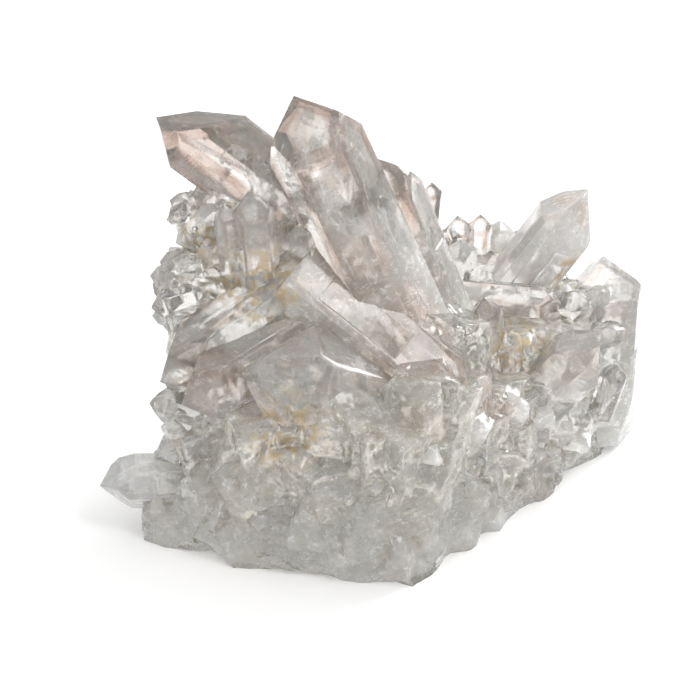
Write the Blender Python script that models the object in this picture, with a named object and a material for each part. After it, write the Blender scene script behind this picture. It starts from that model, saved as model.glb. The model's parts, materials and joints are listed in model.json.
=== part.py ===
"""A quartz crystal cluster: one grown-together solid of pointed crystals on a broken, lumpy base.

The frame: +X to the right and +Y away from whoever faces the main point, +Z up, in metres, with the
origin under the middle of the cluster on the surface it stands on. Every place and size below is in
millimetres and is turned into metres where a shape is made.
"""

import math
import random

import bmesh
import bpy
from mathutils import Matrix, Vector
from mathutils.bvhtree import BVHTree

MM = 0.001

# The angle between a quartz point's end faces and its long axis, the same on every quartz crystal.
END_FACE_ANGLE = math.radians(38.2)
SIDES = 6

OBJECT_NAME = "quartz_cluster"
SAW_CUT_HEIGHT = 0.0
SEED = 7

# How far each end face is set back on most points, as a share of the width: three large faces
# alternate with three small ones.
USUAL_SETBACK = (0, 0.25, 0, 0.25, 0, 0.25)

# Corners closer than this are one, and a ray starts this far off.
WELD = 0.002
FAR_OFF = 200

# The points that can be told apart by eye. root is deep in the base and tip is where the three large
# end faces meet. width is across two flat sides. turn spins the crystal about its length: at 0 a flat
# side faces the front, at 30 an edge does. sides stretches the distance of each flat side from the
# line between root and tip, the front one first and on to the right, all the way round. setback moves
# each end face outwards along the length in the same order, so that it grows smaller.
POINTS = {
    "main_point": dict(
        root=(20, 1, 14), tip=(-17, 1, 99.3), width=19, turn=4,
        sides=(1, 0.96, 1, 1, 1, 1), setback=(0, 9, 0, 9, 0, 5),
    ),
    "left_point": dict(
        root=(-9, 14, 57), tip=(-46.1, 6.6, 90), width=19, turn=38,
        sides=(0.67, 1.35, 1, 0.97, 0.52, 0.62), setback=(6.4, 1.5, 5.4, 8.9, 0, 3.4),
    ),
    "behind_main": dict(root=(21, 16, 20), tip=(-2, 14, 81), width=17, turn=10, setback=(0, 4, 0, 5, 0, 4)),
    "right_point": dict(
        root=(26, 37, 30), tip=(47.5, 34, 62.5), width=13, turn=30,
        sides=(1, 1.2, 1.1, 1, 0.9, 0.9), setback=(0, 3, 6, 5, 0, 4),
    ),
    "far_right_point": dict(
        root=(53, 36, 2), tip=(53.5, 35, 47.7), width=16, turn=16,
        sides=(1, 1.12, 1.12, 1, 1, 1), setback=(0, 5, 0, 6, 0, 5),
    ),
    "far_right_blade": dict(root=(52.5, 17, 16), tip=(55.5, 14, 30), width=6, turn=12),
    "low_right_point": dict(root=(26, 16, 8), tip=(51, 9, 39), width=13, turn=30, setback=(4, 0, 5, 3, 0, 4)),
    "slab_point": dict(
        root=(-14, 0, 58), tip=(-45, -13.5, 41.5), width=12, turn=0,
        sides=(0.8, 1, 1.1, 1, 1, 1), setback=(8, 6, 0, 4, 0, 6),
    ),
    "under_slab": dict(root=(-14, -2, 46), tip=(-40.5, -22, 37), width=14, turn=10, setback=(0, 4, 1, 5, 0, 3)),
    "foot_point": dict(root=(-26, -2, 9), tip=(-60, -9, 12), width=11, turn=16, setback=(4, 0, 3, 1, 5, 2)),
    "niche_point": dict(root=(-24, 0, 44), tip=(-26.5, -5, 80), width=9, turn=12),
    "niche_blade": dict(root=(-29, -1, 46), tip=(-32, -6, 77), width=5, turn=25),
    "lower_main": dict(root=(22, 0, -4), tip=(8, 1, 40), width=24, turn=8, setback=(0, 6, 0, 6, 0, 6)),
    "diagonal_point": dict(
        root=(-18, 2, 57), tip=(24, -12, 27), width=20, turn=20, setback=(0, 3, 2, 5, 0, 3),
    ),
    "belly_point": dict(root=(16, 0, 24), tip=(-27, -23, 46), width=22, turn=20, setback=(0, 3, 1, 5, 2, 4)),
    "valley_point": dict(root=(27, 14, 26), tip=(25, 11, 48), width=7, turn=14),
    "valley_twin": dict(root=(33, 14, 22), tip=(30, 11, 40), width=6, turn=34),
    "shelf_point": dict(root=(16, 30, 40), tip=(44, 24, 40), width=8, turn=14),
    "plateau_point": dict(root=(12, 42, 40), tip=(14, 45, 62), width=5, turn=20),
    "plateau_twin": dict(root=(24, 45, 38), tip=(25.5, 45, 54), width=6, turn=0),
    "plateau_stub": dict(root=(20, 42, 38), tip=(20, 42, 55), width=7, turn=10),
    "back_spire": dict(root=(2, 28, 24), tip=(-8, 46, 72), width=15, turn=15, setback=(2, 4, 0, 3, 0, 4)),
    "back_left_point": dict(root=(-14, 24, 28), tip=(-42, 42, 60), width=14, turn=5, setback=(3, 4, 0, 1, 0, 4)),
    "back_low_point": dict(root=(6, 30, 16), tip=(2, 52, 32), width=14, turn=22, setback=(0, 4, 1, 3, 0, 2)),
    "back_right_point": dict(root=(30, 38, 20), tip=(36, 55, 46), width=12, turn=12, setback=(2, 3, 0, 3, 0, 4)),
}

# The broken quartz that the points grow from: middle and size of each chunk, before its faces are
# knocked off at random.
CHUNKS = {
    "core": dict(middle=(4, 8, 18), size=(70, 56, 40)),
    "heart": dict(middle=(0, 4, 36), size=(50, 38, 40)),
    "front_mass": dict(middle=(-4, -10, 18), size=(66, 50, 40)),
    "front_left": dict(middle=(-24, -10, 14), size=(34, 34, 34)),
    "front_brow": dict(middle=(4, -10, 28), size=(46, 28, 26)),
    "foot": dict(middle=(-4, -4, 5), size=(94, 66, 16)),
    "left_foot": dict(middle=(-35, -10, 4), size=(32, 24, 13)),
    "left_wall": dict(middle=(-34, -4, 23), size=(24, 26, 26)),
    "left_stack_low": dict(middle=(-32, 3, 50), size=(24, 18, 26)),
    "left_stack_mid": dict(middle=(-27, 8, 60), size=(24, 20, 18)),
    "left_stack_top": dict(middle=(-33, 8, 68), size=(18, 14, 17)),
    "niche_floor": dict(middle=(-18, 5, 53), size=(26, 22, 20)),
    "neck": dict(middle=(-4, 9, 60), size=(24, 20, 26)),
    "right_saddle": dict(middle=(38, 28, 24), size=(44, 32, 28)),
    "right_foot": dict(middle=(42, 24, 8), size=(44, 44, 18)),
    "right_shelf": dict(middle=(36, 33, 34), size=(36, 22, 13)),
    "right_knuckle": dict(middle=(40, 12, 16), size=(22, 20, 20)),
    "right_lump": dict(middle=(50, 20, 14), size=(20, 22, 22)),
    "back_mass": dict(middle=(2, 28, 22), size=(62, 38, 40)),
    "back_shelf": dict(middle=(14, 38, 36), size=(42, 20, 18)),
    "back_foot": dict(middle=(-12, 28, 8), size=(44, 34, 20)),
}
CHUNK_CUTS = 16

# The broken outline of the base, where it was prised off its rock: each wall runs from one corner to
# the next, and leans in by so many degrees as it rises.
WALLS = {
    "left_wall": dict(start=(-50, -16), end=(-31, -26.5), lean=8),
    "front_wall": dict(start=(-31, -26.5), end=(9, -36), lean=5),
    "right_wall": dict(start=(10, -34), end=(60, 36), lean=2),
}

# Crowds of small points that stand on the base. Rays are sent in to a line through middle, between
# two bearings and two heights, or straight down between two corners, and a point grows wherever one
# lands on bare base. Bearing 0 is the front and 90 the right. length is how far a point stands out,
# and fan how far it may stray from upright on its ground, in degrees.
CROWDS = {
    "left_stack": dict(middle=(-30, 6), bearings=(225, 320), heights=(40, 74), count=26,
                       width=(3.5, 7), length=(2, 5), fan=35),
    "left_wall": dict(middle=(-28, 0), bearings=(240, 330), heights=(14, 36), count=18,
                      width=(3.5, 8), length=(2, 6), fan=35),
    "niche": dict(middle=(-17, 6), bearings=(-40, 40), heights=(50, 68), count=14,
                  width=(3, 6), length=(3, 9), fan=35),
    "right_valley": dict(middle=(36, 26), bearings=(-50, 60), heights=(8, 40), count=22,
                         width=(4, 9), length=(2, 6), fan=35),
    "right_edge": dict(middle=(42, 26), bearings=(75, 150), heights=(3, 40), count=16,
                       width=(4, 8), length=(4, 10), fan=35),
    "back_slope": dict(middle=(0, 20), bearings=(120, 245), heights=(3, 62), count=50,
                       width=(4, 9), length=(4, 13), fan=35),
    "back_plateau": dict(corners=((-8, 30), (44, 52)), count=26, width=(3.5, 8), length=(3, 9), fan=22),
    "left_top": dict(corners=((-44, 0), (-20, 16)), count=8, width=(3, 6), length=(2, 5), fan=35),
    "right_top": dict(corners=((28, 8), (60, 40)), count=20, width=(3.5, 7), length=(2, 6), fan=35),
}

# Broken steps and lumps on the front, where no points grew. Their places are found in the same way.
# They may hang out over the walls of the base, by CHIP_OVERHANG degrees.
CHIPS = {
    "front_chips": dict(middle=(0, -5), bearings=(-70, 60), heights=(8, 44), count=26, size=(10, 20)),
    "foot_chips": dict(middle=(-8, -5), bearings=(-65, 60), heights=(1, 18), count=20, size=(9, 17)),
    "left_chips": dict(middle=(-28, 2), bearings=(230, 330), heights=(4, 72), count=20, size=(5, 11)),
    "right_chips": dict(middle=(40, 24), bearings=(-40, 80), heights=(3, 34), count=26, size=(7, 14)),
    "wall_chips": dict(middle=(14, 4), bearings=(30, 95), heights=(2, 28), count=30, size=(7, 14)),
}
CHIP_CUTS = 7
CHIP_DEPTH = 0.44
CHIP_OVERHANG = 25


def cut_away(mesh, point, normal):
    """Cuts a closed convex mesh by a plane, drops what lies beyond it and caps the hole."""
    geometry = mesh.verts[:] + mesh.edges[:] + mesh.faces[:]
    cut = bmesh.ops.bisect_plane(
        mesh, geom=geometry, plane_co=point, plane_no=normal, dist=1e-7, clear_outer=True
    )
    rim = [e for e in cut["geom_cut"] if isinstance(e, bmesh.types.BMEdge)]
    if rim:
        bmesh.ops.contextual_create(mesh, geom=rim)


def mesh_object(name, mesh, collection):
    bmesh.ops.remove_doubles(mesh, verts=mesh.verts[:], dist=1e-6)
    bmesh.ops.recalc_face_normals(mesh, faces=mesh.faces[:])
    data = bpy.data.meshes.new(name)
    mesh.to_mesh(data)
    mesh.free()
    made = bpy.data.objects.new(name, data)
    collection.objects.link(made)
    return made


def crystal(name, collection, root, tip, width, turn=0, sides=(1,) * SIDES, setback=None):
    """One six-sided quartz point, from its root in the base to its tip."""
    if setback is None:
        setback = [width * share for share in USUAL_SETBACK]
    root, tip = Vector(root) * MM, Vector(tip) * MM
    axis = (tip - root).normalized()
    length = (tip - root).length
    front = Vector((0, -1, 0)) if abs(axis.y) < 0.9 else Vector((0, 0, 1))
    front = (front - axis * front.dot(axis)).normalized()
    mesh = bmesh.new()
    bmesh.ops.create_cube(mesh, size=4 * length)
    bmesh.ops.translate(mesh, vec=root, verts=mesh.verts[:])
    cut_away(mesh, root, -axis)
    for side in range(SIDES):
        around = Matrix.Rotation(math.radians(turn + 60 * side), 3, axis) @ front
        end_face = around * math.cos(END_FACE_ANGLE) + axis * math.sin(END_FACE_ANGLE)
        cut_away(mesh, root + around * width / 2 * sides[side] * MM, around)
        cut_away(mesh, tip + axis * setback[side] * MM, end_face)
    return mesh_object(name, mesh, collection)


def chunk(name, collection, middle, size, cuts, turn=0, walls=()):
    """A lump of broken quartz: a box with its corners and edges knocked off by flat breaks."""
    dice = random.Random(f"{SEED} {name}")
    half = Vector(size) / 2 * MM
    mesh = bmesh.new()
    bmesh.ops.create_cube(mesh, size=2)
    bmesh.ops.scale(mesh, vec=half, verts=mesh.verts[:])
    for _ in range(cuts):
        away = Vector([dice.gauss(0, 1) for _ in range(3)]).normalized()
        reach = Vector([a * h for a, h in zip(away, half)]).length
        cut_away(mesh, away * reach * dice.uniform(0.86, 1.02), away)
    bmesh.ops.rotate(mesh, matrix=Matrix.Rotation(turn, 3, "Z"), verts=mesh.verts[:])
    bmesh.ops.translate(mesh, vec=Vector(middle) * MM, verts=mesh.verts[:])
    for start, end, lean in walls:
        along = Vector((end[0] - start[0], end[1] - start[1], 0)).normalized()
        out = Vector((along.y, -along.x, math.tan(math.radians(lean)))).normalized()
        cut_away(mesh, Vector((*start, 0)) * MM, out)
    return mesh_object(name, mesh, collection)


class Ground:
    """What the rays of a crowd meet first: bare base, or one of the named points."""

    def __init__(self, base, points):
        corners, faces = [], []
        for solid in base + points:
            first = len(corners)
            corners += [v.co for v in solid.data.vertices]
            faces += [[first + v for v in p.vertices] for p in solid.data.polygons]
        self.tree = BVHTree.FromPolygons(corners, faces)
        self.bare = sum(len(solid.data.polygons) for solid in base)

    def landing(self, dice, crowd):
        """Where one ray of a crowd lands, and which way the base faces there, if it is bare."""
        if "corners" in crowd:
            (left, front), (right, back) = crowd["corners"]
            start = Vector((dice.uniform(left, right), dice.uniform(front, back), FAR_OFF))
            direction = Vector((0, 0, -1))
        else:
            bearing = math.radians(dice.uniform(*crowd["bearings"]))
            direction = Vector((-math.sin(bearing), math.cos(bearing), 0))
            start = Vector((*crowd["middle"], dice.uniform(*crowd["heights"]))) - direction * FAR_OFF
        place, normal, face, _ = self.tree.ray_cast(start * MM, direction)
        return (place / MM, normal) if place and face < self.bare else None


def stray(dice, normal, fan):
    sideways = Vector([dice.gauss(0, 1) for _ in range(3)]).normalized()
    return (normal + sideways * math.tan(math.radians(fan)) * dice.random()).normalized()


def small_point(name, collection, dice, landing, crowd):
    place, normal = landing
    axis = stray(dice, normal, crowd["fan"])
    across = dice.uniform(*crowd["width"])
    tip = place + axis * dice.uniform(*crowd["length"])
    setback = [across * share * dice.uniform(0.3, 1.7) for share in USUAL_SETBACK]
    turn = dice.uniform(0, 60)
    return crystal(name, collection, place - axis * across, tip, across, turn, setback=setback)


def chip(name, collection, dice, landing, crowd, walls):
    place, normal = landing
    size = [dice.uniform(*crowd["size"]) for _ in range(3)]
    middle = place - normal * min(size) * CHIP_DEPTH
    return chunk(name, collection, middle, size, CHIP_CUTS, dice.uniform(0, math.pi), walls)


def scattered(collection, ground, walls):
    """All the small points and broken lumps that stand on the base."""
    for name, crowd in {**CROWDS, **CHIPS}.items():
        dice = random.Random(f"{SEED} {name}")
        for number in range(crowd["count"]):
            landing = ground.landing(dice, crowd)
            if landing and name in CROWDS:
                small_point(f"{name}_{number}", collection, dice, landing, crowd)
            elif landing:
                chip(f"{name}_{number}", collection, dice, landing, crowd, walls)


def outer_skin(mesh):
    """Drops every closed pocket inside the solid, so that only the outside is left."""
    unseen = set(mesh.faces)
    skins = []
    while unseen:
        skin, front = set(), [unseen.pop()]
        while front:
            face = front.pop()
            skin.add(face)
            for edge in face.edges:
                joined = [other for other in edge.link_faces if other in unseen]
                unseen.difference_update(joined)
                front += joined
        skins.append(skin)
    outside = max(skins, key=len)
    bmesh.ops.delete(mesh, geom=[f for f in mesh.faces if f not in outside], context="FACES")


def middle_to_origin(mesh):
    """How far the middle of the finished solid, seen from above, has to move to reach the origin."""
    across = [vertex.co.x for vertex in mesh.verts]
    deep = [vertex.co.y for vertex in mesh.verts]
    return Vector((-(min(across) + max(across)) / 2, -(min(deep) + max(deep)) / 2, 0))


def quartz():
    material = bpy.data.materials.new("quartz")
    material.use_nodes = True
    shader = material.node_tree.nodes["Principled BSDF"]
    shader.inputs["Base Color"].default_value = (0.72, 0.68, 0.62, 1)
    shader.inputs["Roughness"].default_value = 0.12
    shader.inputs["Metallic"].default_value = 0
    shader.inputs["IOR"].default_value = 1.544
    shader.inputs["Transmission Weight"].default_value = 0.6
    return material


def new_collection(name):
    made = bpy.data.collections.new(name)
    bpy.context.scene.collection.children.link(made)
    return made


def saw_block(collection):
    """All that lies below the cut that the cluster stands on."""
    floor = bmesh.new()
    bmesh.ops.create_cube(floor, size=2 * FAR_OFF * MM)
    bmesh.ops.translate(floor, vec=(0, 0, (SAW_CUT_HEIGHT - FAR_OFF) * MM), verts=floor.verts[:])
    return mesh_object("saw_cut", floor, collection)


def grown_together(collection, first, others, saw):
    """All the overlapping shapes as one solid, sawn flat underneath."""
    union = first.modifiers.new("grow_together", "BOOLEAN")
    union.operation = "UNION"
    union.operand_type = "COLLECTION"
    union.collection = others
    union.solver = "EXACT"
    cut = first.modifiers.new("saw_flat", "BOOLEAN")
    cut.operation = "DIFFERENCE"
    cut.object = saw
    cut.solver = "EXACT"
    bpy.context.view_layer.update()
    graph = bpy.context.evaluated_depsgraph_get()
    mesh = bmesh.new()
    mesh.from_mesh(bpy.data.meshes.new_from_object(first.evaluated_get(graph)))
    bmesh.ops.remove_doubles(mesh, verts=mesh.verts[:], dist=WELD * MM)
    bmesh.ops.dissolve_degenerate(mesh, dist=WELD * MM, edges=mesh.edges[:])
    bmesh.ops.triangulate(mesh, faces=mesh.faces[:])
    outer_skin(mesh)
    bmesh.ops.translate(mesh, vec=middle_to_origin(mesh), verts=mesh.verts[:])
    return mesh_object(OBJECT_NAME, mesh, collection)


def main():
    for old in list(bpy.data.objects):
        bpy.data.objects.remove(old)
    cluster = new_collection(OBJECT_NAME)
    shapes = new_collection("shapes_to_join")
    cutters = new_collection("cutters")
    walls = [(w["start"], w["end"], w["lean"]) for w in WALLS.values()]
    overhangs = [(start, end, -CHIP_OVERHANG) for start, end, _ in walls]
    base = [chunk(name, shapes, cuts=CHUNK_CUTS, walls=walls, **c) for name, c in CHUNKS.items()]
    points = [crystal(name, shapes, **sizes) for name, sizes in POINTS.items()]
    scattered(shapes, Ground(base, points), overhangs)
    first = base[0]
    shapes.objects.unlink(first)
    cutters.objects.link(first)
    whole = grown_together(cluster, first, shapes, saw_block(cutters))
    whole.data.materials.append(quartz())
    for helper in list(shapes.objects) + list(cutters.objects):
        helper.hide_render = True
        helper.display_type = "WIRE"


main()
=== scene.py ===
import json
import math
import random
import time

import bmesh
import bpy
from mathutils import Matrix, Vector, noise
from mathutils.bvhtree import BVHTree
from mathutils.kdtree import KDTree

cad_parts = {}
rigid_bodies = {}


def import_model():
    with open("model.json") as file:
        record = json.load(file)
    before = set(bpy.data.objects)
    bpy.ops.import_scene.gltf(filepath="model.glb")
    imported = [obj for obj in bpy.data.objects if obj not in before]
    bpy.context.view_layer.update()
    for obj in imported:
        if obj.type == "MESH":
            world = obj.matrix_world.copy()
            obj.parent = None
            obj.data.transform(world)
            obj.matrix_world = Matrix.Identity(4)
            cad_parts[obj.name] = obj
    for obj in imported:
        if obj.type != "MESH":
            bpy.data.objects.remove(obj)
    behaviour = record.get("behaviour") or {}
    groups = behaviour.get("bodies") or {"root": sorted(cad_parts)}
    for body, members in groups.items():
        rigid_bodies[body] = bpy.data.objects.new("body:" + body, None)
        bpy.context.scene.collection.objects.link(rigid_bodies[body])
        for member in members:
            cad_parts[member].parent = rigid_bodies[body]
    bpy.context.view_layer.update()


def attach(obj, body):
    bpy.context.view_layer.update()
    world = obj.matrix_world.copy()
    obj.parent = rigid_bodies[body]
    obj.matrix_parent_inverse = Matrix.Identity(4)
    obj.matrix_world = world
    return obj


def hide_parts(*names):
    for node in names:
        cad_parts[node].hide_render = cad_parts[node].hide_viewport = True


# A quartz crystal cluster, dressed: the same points and broken base as the solid model, with growth
# steps, worn edges, fine druzy points, rough breaks, inner veils and glassy to milky quartz.
# Places and sizes are in millimetres until a mesh is made. +X right, +Y away, +Z up.

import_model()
begun = time.time()

mm = 0.001
seed = 7
toFrame = Vector((-1.1592, -9.8426, 0))  # from the places below to the model's own origin
endFaceAngle = math.radians(38.2)  # between a quartz point's end faces and its length
evenSides = (1,) * 6
usualSetback = (0, 0.25, 0, 0.25, 0, 0.25)  # of the end faces behind the tip, as shares of the width
farOff = 200  # a distance past the whole cluster
roomy = 4  # a crystal is cut from a block so many times as long
onFloor = 0.05  # a corner lower than this lies on the flat underside
touching = 1e-6  # corners nearer than this are one, in metres
rockKind, smallKind, namedKind = 0, 0.6, 1  # of a face: on broken quartz, a small or a named point
rockLimit = 0.3  # a kind below this is broken quartz


def report(words):
    print(f"[{time.time() - begun:5.1f} s] {words}")


def anyWay(dice):  # a direction at random
    return Vector([dice.gauss(0, 1) for _ in range(3)]).normalized()


points = {
    "main_point": dict(
        root=(20, 1, 14), tip=(-17, 1, 99.3), width=19, turn=4,
        sides=(1, 0.96, 1, 1, 1, 1), setback=(0, 9, 0, 9, 0, 5),
    ),
    "left_point": dict(
        root=(-9, 14, 57), tip=(-46.1, 6.6, 90), width=19, turn=38,
        sides=(0.67, 1.35, 1, 0.97, 0.52, 0.62), setback=(6.4, 1.5, 5.4, 8.9, 0, 3.4),
    ),
    "behind_main": dict(
        root=(21, 16, 20), tip=(-2, 14, 81), width=17, turn=10, setback=(0, 4, 0, 5, 0, 4),
    ),
    "right_point": dict(
        root=(26, 37, 30), tip=(47.5, 34, 62.5), width=13, turn=30,
        sides=(1, 1.2, 1.1, 1, 0.9, 0.9), setback=(0, 3, 6, 5, 0, 4),
    ),
    "far_right_point": dict(
        root=(53, 36, 2), tip=(53.5, 35, 47.7), width=16, turn=16,
        sides=(1, 1.12, 1.12, 1, 1, 1), setback=(0, 5, 0, 6, 0, 5),
    ),
    "far_right_blade": dict(root=(52.5, 17, 16), tip=(55.5, 14, 30), width=6, turn=12),
    "low_right_point": dict(
        root=(26, 16, 8), tip=(51, 9, 39), width=13, turn=30, setback=(4, 0, 5, 3, 0, 4),
    ),
    "slab_point": dict(
        root=(-14, 0, 58), tip=(-45, -13.5, 41.5), width=12, turn=0,
        sides=(0.8, 1, 1.1, 1, 1, 1), setback=(8, 6, 0, 4, 0, 6),
    ),
    "under_slab": dict(
        root=(-14, -2, 46), tip=(-40.5, -22, 37), width=14, turn=10, setback=(0, 4, 1, 5, 0, 3),
    ),
    "foot_point": dict(
        root=(-26, -2, 9), tip=(-60, -9, 12), width=11, turn=16, setback=(4, 0, 3, 1, 5, 2),
    ),
    "niche_point": dict(root=(-24, 0, 44), tip=(-26.5, -5, 80), width=9, turn=12),
    "niche_blade": dict(root=(-29, -1, 46), tip=(-32, -6, 77), width=5, turn=25),
    "lower_main": dict(
        root=(22, 0, -4), tip=(8, 1, 40), width=24, turn=8, setback=(0, 6, 0, 6, 0, 6),
    ),
    "diagonal_point": dict(
        root=(-18, 2, 57), tip=(24, -12, 27), width=20, turn=20, setback=(0, 3, 2, 5, 0, 3),
    ),
    "belly_point": dict(
        root=(16, 0, 24), tip=(-27, -23, 46), width=22, turn=20, setback=(0, 3, 1, 5, 2, 4),
    ),
    "valley_point": dict(root=(27, 14, 26), tip=(25, 11, 48), width=7, turn=14),
    "valley_twin": dict(root=(33, 14, 22), tip=(30, 11, 40), width=6, turn=34),
    "shelf_point": dict(root=(16, 30, 40), tip=(44, 24, 40), width=8, turn=14),
    "plateau_point": dict(root=(12, 42, 40), tip=(14, 45, 62), width=5, turn=20),
    "plateau_twin": dict(root=(24, 45, 38), tip=(25.5, 45, 54), width=6, turn=0),
    "plateau_stub": dict(root=(20, 42, 38), tip=(20, 42, 55), width=7, turn=10),
    "back_spire": dict(
        root=(2, 28, 24), tip=(-8, 46, 72), width=15, turn=15, setback=(2, 4, 0, 3, 0, 4),
    ),
    "back_left_point": dict(
        root=(-14, 24, 28), tip=(-42, 42, 60), width=14, turn=5, setback=(3, 4, 0, 1, 0, 4),
    ),
    "back_low_point": dict(
        root=(6, 30, 16), tip=(2, 52, 32), width=14, turn=22, setback=(0, 4, 1, 3, 0, 2),
    ),
    "back_right_point": dict(
        root=(30, 38, 20), tip=(36, 55, 46), width=12, turn=12, setback=(2, 3, 0, 3, 0, 4),
    ),
}

# The broken quartz that the points grow from: middle and size of each chunk, before its faces are
# knocked off at random.
chunks = {
    "core": dict(middle=(4, 8, 18), size=(70, 56, 40)),
    "heart": dict(middle=(0, 4, 36), size=(50, 38, 40)),
    "front_mass": dict(middle=(-4, -10, 18), size=(66, 50, 40)),
    "front_left": dict(middle=(-24, -10, 14), size=(34, 34, 34)),
    "front_brow": dict(middle=(4, -10, 28), size=(46, 28, 26)),
    "foot": dict(middle=(-4, -4, 5), size=(94, 66, 16)),
    "left_foot": dict(middle=(-35, -10, 4), size=(32, 24, 13)),
    "left_wall": dict(middle=(-34, -4, 23), size=(24, 26, 26)),
    "left_stack_low": dict(middle=(-32, 3, 50), size=(24, 18, 26)),
    "left_stack_mid": dict(middle=(-27, 8, 60), size=(24, 20, 18)),
    "left_stack_top": dict(middle=(-33, 8, 68), size=(18, 14, 17)),
    "niche_floor": dict(middle=(-18, 5, 53), size=(26, 22, 20)),
    "neck": dict(middle=(-4, 9, 60), size=(24, 20, 26)),
    "right_saddle": dict(middle=(38, 28, 24), size=(44, 32, 28)),
    "right_foot": dict(middle=(42, 24, 8), size=(44, 44, 18)),
    "right_shelf": dict(middle=(36, 33, 34), size=(36, 22, 13)),
    "right_knuckle": dict(middle=(40, 12, 16), size=(22, 20, 20)),
    "right_lump": dict(middle=(50, 20, 14), size=(20, 22, 22)),
    "back_mass": dict(middle=(2, 28, 22), size=(62, 38, 40)),
    "back_shelf": dict(middle=(14, 38, 36), size=(42, 20, 18)),
    "back_foot": dict(middle=(-12, 28, 8), size=(44, 34, 20)),
}
chunkCuts = 16
lumpReach = (0.86, 1.02)  # how far out a break lies, as a share of the lump's own reach that way

# The broken outline of the base, where it was prised off its rock: each wall runs from one corner to
# the next, and leans in by so many degrees as it rises.
walls = {
    "left_wall": dict(start=(-50, -16), end=(-31, -26.5), lean=8),
    "front_wall": dict(start=(-31, -26.5), end=(9, -36), lean=5),
    "right_wall": dict(start=(10, -34), end=(60, 36), lean=2),
}

# Crowds of small points that stand on the base. Rays are sent in to a line through middle, between
# two bearings and two heights, or straight down between two corners, and a point grows wherever one
# lands on bare base. Bearing 0 is the front and 90 the right. length is how far a point stands out,
# and fan how far it may stray from upright on its ground, in degrees.
crowds = {
    "left_stack": dict(middle=(-30, 6), bearings=(225, 320), heights=(40, 74), count=26,
                       width=(3.5, 7), length=(2, 5), fan=35),
    "left_wall": dict(middle=(-28, 0), bearings=(240, 330), heights=(14, 36), count=18,
                      width=(3.5, 8), length=(2, 6), fan=35),
    "niche": dict(middle=(-17, 6), bearings=(-40, 40), heights=(50, 68), count=14,
                  width=(3, 6), length=(3, 9), fan=35),
    "right_valley": dict(middle=(36, 26), bearings=(-50, 60), heights=(8, 40), count=22,
                         width=(4, 9), length=(2, 6), fan=35),
    "right_edge": dict(middle=(42, 26), bearings=(75, 150), heights=(3, 40), count=16,
                       width=(4, 8), length=(4, 10), fan=35),
    "back_slope": dict(middle=(0, 20), bearings=(120, 245), heights=(3, 62), count=50,
                       width=(4, 9), length=(4, 13), fan=35),
    "back_plateau": dict(corners=((-8, 30), (44, 52)), count=26, width=(3.5, 8), length=(3, 9), fan=22),
    "left_top": dict(corners=((-44, 0), (-20, 16)), count=8, width=(3, 6), length=(2, 5), fan=35),
    "right_top": dict(corners=((28, 8), (60, 40)), count=20, width=(3.5, 7), length=(2, 6), fan=35),
}

# Broken steps and lumps on the front, where no points grew. Their places are found in the same way.
# They may hang out over the walls of the base, by chipOverhang degrees.
chips = {
    "front_chips": dict(middle=(0, -5), bearings=(-70, 60), heights=(8, 44), count=26, size=(10, 20)),
    "foot_chips": dict(middle=(-8, -5), bearings=(-65, 60), heights=(1, 18), count=20, size=(9, 17)),
    "left_chips": dict(middle=(-28, 2), bearings=(230, 330), heights=(4, 72), count=20, size=(5, 11)),
    "right_chips": dict(middle=(40, 24), bearings=(-40, 80), heights=(3, 34), count=26, size=(7, 14)),
    "wall_chips": dict(middle=(14, 4), bearings=(30, 95), heights=(2, 28), count=30, size=(7, 14)),
}
chipCuts = 7
chipDepth = 0.44  # how deep its middle sits, as a share of its least size
chipOverhang = 25

unevenness = (0.3, 1.7)  # of a small point's end faces

# Fine druzy points, which stand between the larger ones.
druzy = {
    "left_druzy": dict(middle=(-30, 6), bearings=(225, 330), heights=(14, 76), count=90,
                       width=(1.2, 3), length=(0.8, 2.4), fan=40),
    "valley_druzy": dict(middle=(36, 26), bearings=(-50, 90), heights=(4, 44), count=110,
                         width=(1.2, 3), length=(0.8, 3), fan=40),
    "back_druzy": dict(middle=(0, 20), bearings=(110, 250), heights=(3, 64), count=160,
                       width=(1.4, 3.4), length=(0.8, 3.2), fan=40),
    "plateau_druzy": dict(corners=((-10, 24), (58, 54)), count=110,
                          width=(1.2, 3.2), length=(0.8, 3.4), fan=30),
    "niche_druzy": dict(middle=(-17, 6), bearings=(-50, 40), heights=(46, 70), count=40,
                        width=(1.2, 2.6), length=(0.8, 2.6), fan=35),
}

# How cloudy the named points are at their tips, from 0 to 1, and after them the rest and the small ones.
tipMilk = {
    "main_point": 0.08, "left_point": 0.1, "behind_main": 0.1, "right_point": 0.45, "far_right_point": 0.3,
    "low_right_point": 0.22, "slab_point": 0.2, "under_slab": 0.2, "foot_point": 0.4, "niche_point": 0.25,
    "niche_blade": 0.25, "lower_main": 0.18, "diagonal_point": 0.15, "belly_point": 0.22, "shelf_point": 0.2,
}
otherTipMilk = 0.15
smallTipMilk = (0.1, 0.6)

# Low growth steps on the sides of the larger points: how many, how proud, how far short of the tip and
# of the root in widths, how narrow and how set back against it, how worn, and the narrowest point
# that has any.
plates = dict(
    count=4, proud=(0.1, 0.34), back=(0.2, 1.6), rootGap=0.4, narrow=(0.55, 0.93), setback=(0.2, 1),
    wear=0.06, leastWidth=9,
)

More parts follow.
